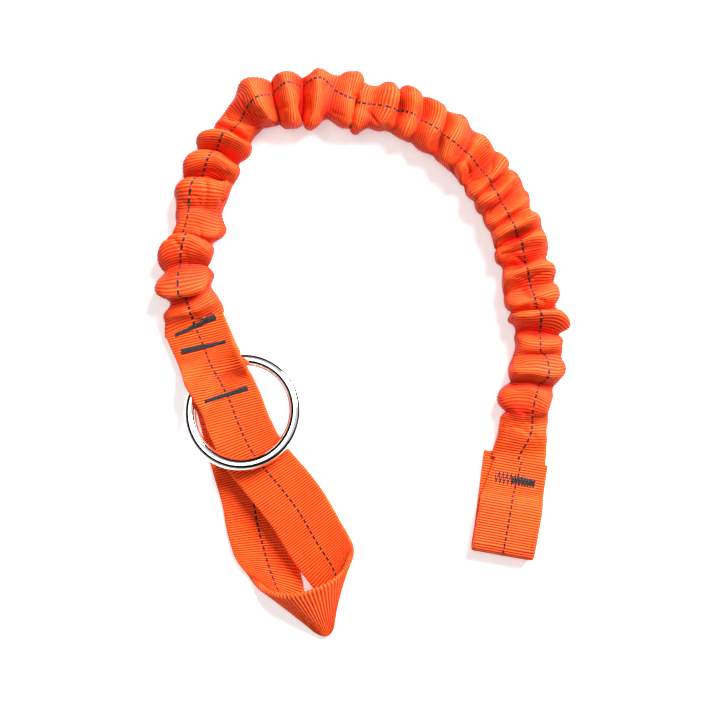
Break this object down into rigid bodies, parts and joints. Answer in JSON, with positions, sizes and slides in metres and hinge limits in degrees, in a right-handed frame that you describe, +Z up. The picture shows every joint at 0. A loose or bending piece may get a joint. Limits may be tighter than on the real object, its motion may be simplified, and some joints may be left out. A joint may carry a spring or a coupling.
{
  "type": "shock absorbing lanyard",
  "caption": "Gathered webbing sleeve over an elastic core, with a welded ring and a choke loop sewn at one end and a flat sewn eye at the other.",
  "frame": {"origin": "middle of the footprint, on the surface the lanyard lies on", "axes": "+Y away from the choke loop towards the top of the bend, +X towards the eye's side, +Z up"},
  "size_m": [0.1634, 0.2278, 0.0165],
  "materials": {
    "webbing": "ribbed tubular webbing with a dark tracer",
    "thread": "sewing thread",
    "chrome": "polished",
    "elastic": "braided cover"
  },
  "bodies": {
    "ring_end": {"choke_loop_webbing": "webbing", "bar_tack_upper": "thread", "bar_tack_middle": "thread", "bar_tack_lower": "thread", "sleeve_section_0": "webbing", "elastic_core_0": "elastic"},
    "ring": {"ring": "chrome"},
    "section_1": {"sleeve_section_1": "webbing", "elastic_core_1": "elastic"},
    "section_2": {"sleeve_section_2": "webbing", "elastic_core_2": "elastic"},
    "section_3": {"sleeve_section_3": "webbing", "elastic_core_3": "elastic"},
    "section_4": {"sleeve_section_4": "webbing", "elastic_core_4": "elastic"},
    "section_5": {"sleeve_section_5": "webbing", "elastic_core_5": "elastic"},
    "eye_end": {"eye_webbing": "webbing", "zigzag_tack": "thread", "sleeve_section_6": "webbing", "elastic_core_6": "elastic"}
  },
  "joints": [
    {"name": "ring_swing", "type": "hinge", "parent": "ring_end", "child": "ring", "pos_m": [-0.05917, -0.00539, 0.0048], "axis": [-0.8372, -0.5469, 0], "range_deg": [0, 75]},
    {"name": "stretch_1", "type": "slide", "parent": "ring_end", "child": "section_1", "axis": [0.2294, 0.9733, 0], "range_m": [0, 0.045], "stiffness_N_per_m": 60},
    {"name": "stretch_2", "type": "slide", "parent": "section_1", "child": "section_2", "axis": [0.8716, 0.4903, 0], "range_m": [0, 0.045], "stiffness_N_per_m": 60},
    {"name": "stretch_3", "type": "slide", "parent": "section_2", "child": "section_3", "axis": [0.987, -0.1606, 0], "range_m": [0, 0.045], "stiffness_N_per_m": 60},
    {"name": "stretch_4", "type": "slide", "parent": "section_3", "child": "section_4", "axis": [0.749, -0.6625, 0], "range_m": [0, 0.045], "stiffness_N_per_m": 60},
    {"name": "stretch_5", "type": "slide", "parent": "section_4", "child": "section_5", "axis": [0.3066, -0.9518, 0], "range_m": [0, 0.045], "stiffness_N_per_m": 60},
    {"name": "stretch_6", "type": "slide", "parent": "section_5", "child": "eye_end", "axis": [-0.0714, -0.9974, 0], "range_m": [0, 0.045], "stiffness_N_per_m": 60}
  ],
  "couplings": [
    {"joint": "stretch_2", "follows": "stretch_1", "ratio": 1},
    {"joint": "stretch_3", "follows": "stretch_1", "ratio": 1},
    {"joint": "stretch_4", "follows": "stretch_1", "ratio": 1},
    {"joint": "stretch_5", "follows": "stretch_1", "ratio": 1},
    {"joint": "stretch_6", "follows": "stretch_1", "ratio": 1}
  ]
}
